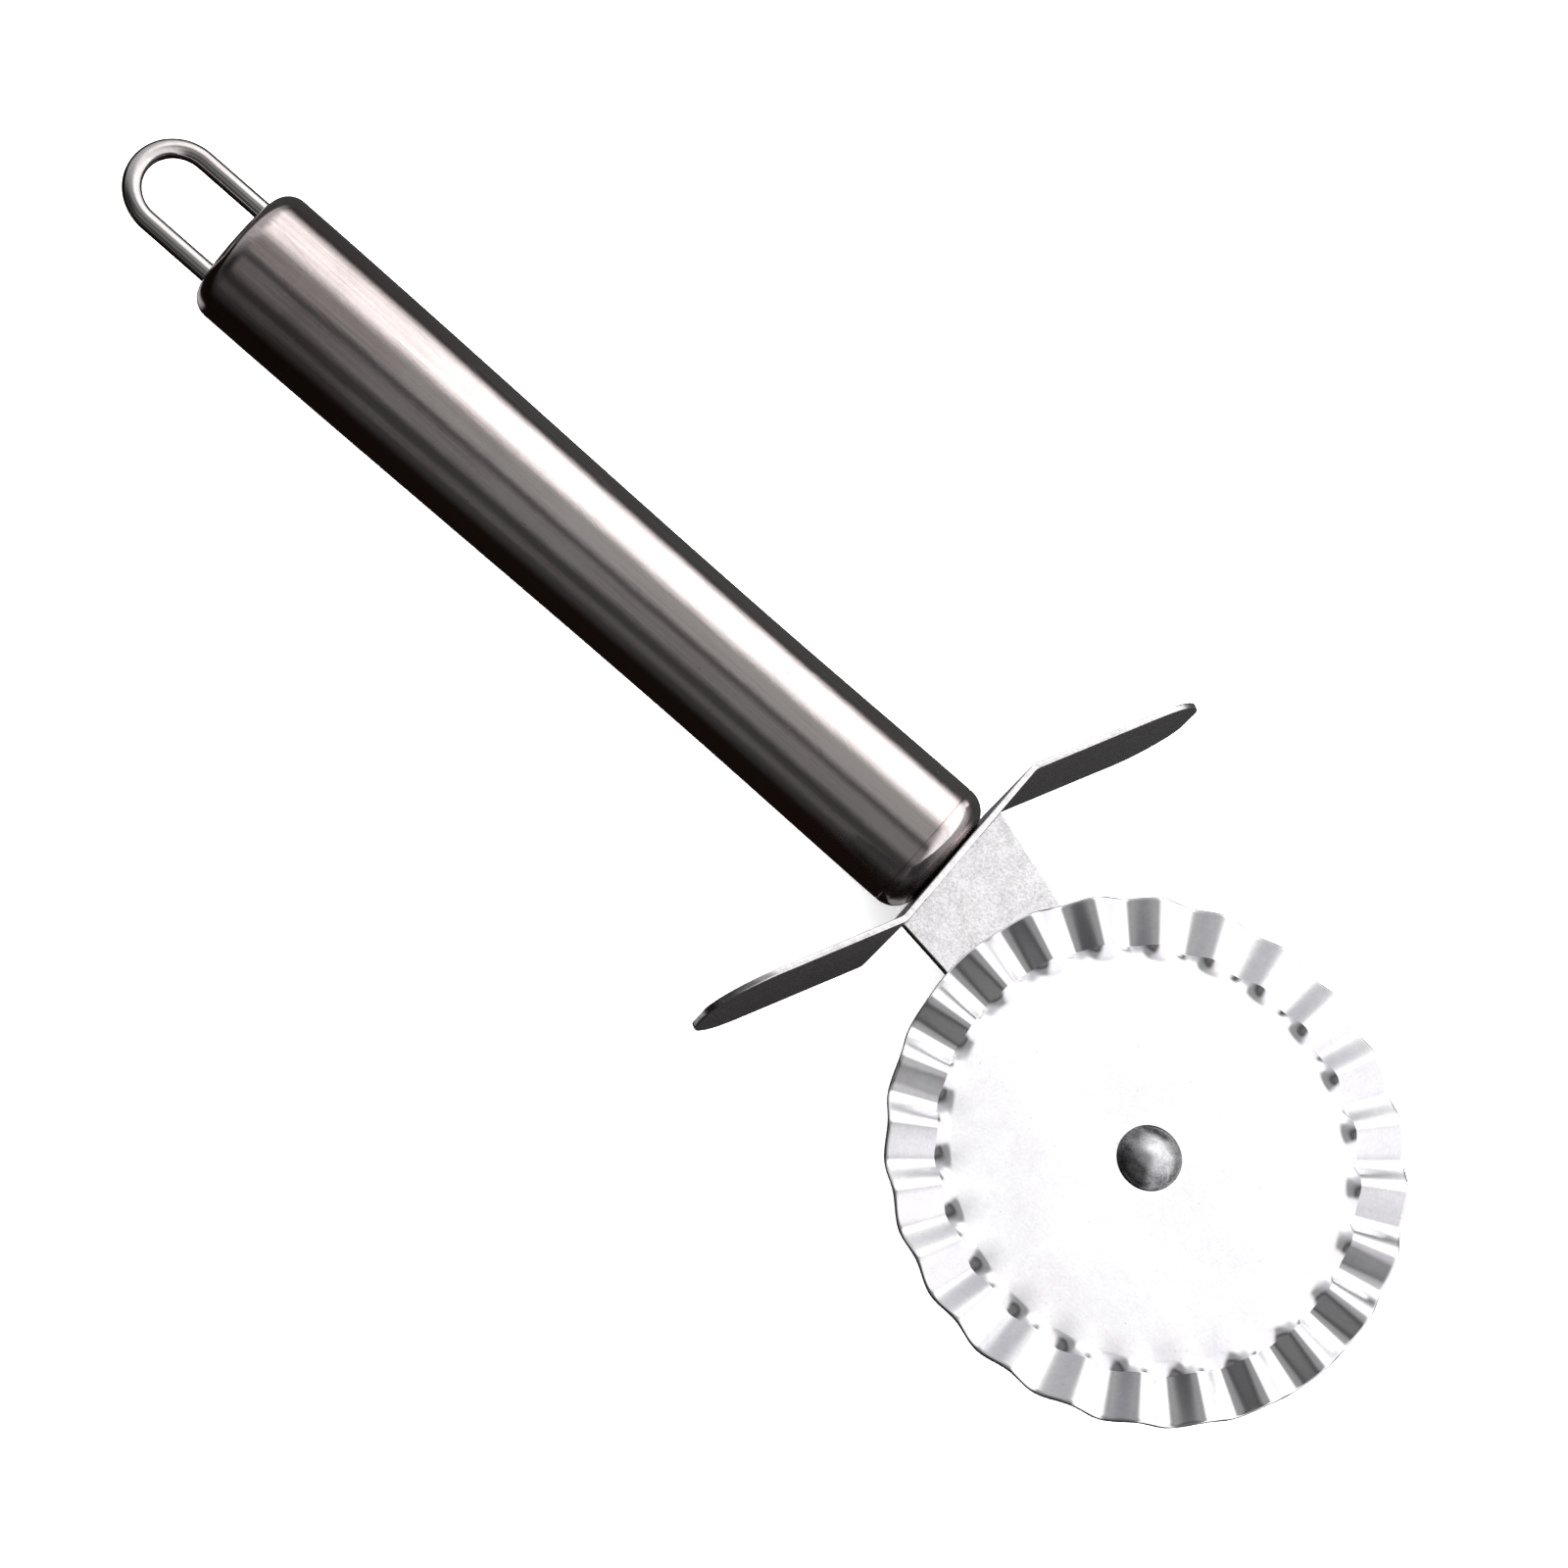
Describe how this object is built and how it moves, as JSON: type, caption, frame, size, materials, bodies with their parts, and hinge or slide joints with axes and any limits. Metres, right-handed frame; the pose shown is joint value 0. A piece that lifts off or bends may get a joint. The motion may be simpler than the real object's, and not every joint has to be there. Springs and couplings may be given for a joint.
{
  "type": "fluted pastry cutter wheel",
  "caption": "Hand pastry cutter: a fluted steel wheel spins on a flat arm, behind it a bent finger guard, a hollow waisted handle and a wire hanging loop.",
  "frame": {"origin": "centre of the bounding box on its bottom plane, the level the guard's lower edge rests on", "axes": "+X along the handle from the hanging loop toward the wheel; +Y toward the guard wing that leans toward the wheel; +Z along the wheel's axle, toward its domed rivet head"},
  "size_m": [0.2054, 0.0824, 0.0195],
  "materials": {
    "polished_steel": "satin polished stainless steel with lengthwise reflections and fine scratches",
    "sheet_steel": "tumbled matte stainless sheet with bright rounded edges",
    "wheel_steel": "bright pressed stainless sheet, faintly mottled",
    "rivet_steel": "smooth grey steel",
    "inner_steel": "plain turned steel, hidden inside the handle"
  },
  "bodies": {
    "handle": {"handle_tube": "polished_steel", "front_cap": "polished_steel", "rear_cap": "polished_steel", "hanging_loop": "polished_steel", "loop_anchor": "inner_steel", "tang_plug": "inner_steel", "finger_guard": "sheet_steel", "wheel_arm": "sheet_steel", "spacer_washer": "rivet_steel", "axle_rivet": "rivet_steel", "rivet_washer": "rivet_steel"},
    "wheel": {"fluted_wheel": "wheel_steel"}
  },
  "joints": [
    {"name": "wheel_spin", "type": "hinge", "parent": "handle", "child": "wheel", "pos_m": [0.06972, -0.00817, 0.0119], "axis": [0, 0, 1], "continuous": true}
  ]
}
